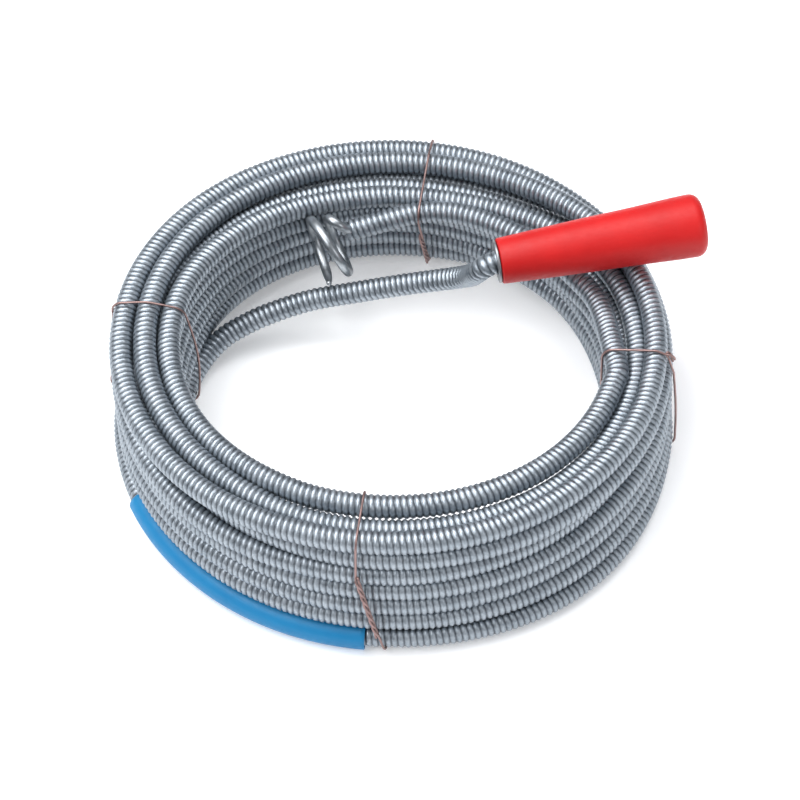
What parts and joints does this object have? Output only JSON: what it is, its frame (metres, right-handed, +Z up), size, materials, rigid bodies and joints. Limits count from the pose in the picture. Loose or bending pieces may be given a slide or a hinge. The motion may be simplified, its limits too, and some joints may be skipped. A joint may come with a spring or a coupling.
{
  "type": "drain auger",
  "caption": "Coiled drain-cleaning spring cable with a corkscrew head, a turning crank grip and a sliding guide tube, tied with wire.",
  "frame": {"origin": "on the floor, under the middle of the whole object; the coil's vertical axis passes through x -4.04 mm, y 2.14 mm", "axes": "+Z up along the coil's axis, -Y towards the front of the coil, +X to the right, where the grip points"},
  "size_m": [0.2302, 0.2184, 0.0833],
  "materials": {
    "cable_steel": "galvanised spring wire, satin, with dark grooves",
    "head_steel": "bright thick wire",
    "fitting_steel": "bright zinc",
    "grip_plastic": "moulded red, semi-gloss",
    "guide_plastic": "blue flexible tube, semi-gloss",
    "tie_wire": "copper-brown soft wire"
  },
  "bodies": {
    "coil": {"cable_coil": "cable_steel", "cable_guide_run": "cable_steel", "cable_crank_run": "cable_steel", "cable_tip_run": "cable_steel", "auger_head": "head_steel", "front_washer": "fitting_steel", "rear_washer": "fitting_steel", "end_ferrule": "fitting_steel", "tie_wire_left": "tie_wire", "tie_wire_back": "tie_wire", "tie_wire_right": "tie_wire", "tie_wire_front": "tie_wire"},
    "grip": {"grip": "grip_plastic"},
    "guide": {"guide_tube": "guide_plastic"}
  },
  "joints": [
    {"name": "grip_spin", "type": "hinge", "parent": "coil", "child": "grip", "pos_m": [0.03596, 0.02714, 0.0655], "axis": [0.982, 0.1726, 0.0767], "continuous": true},
    {"name": "guide_slide", "type": "hinge", "parent": "coil", "child": "guide", "pos_m": [-0.00404, 0.00214, 0], "axis": [0, 0, 1], "range_deg": [-28.5, 2.8]}
  ]
}
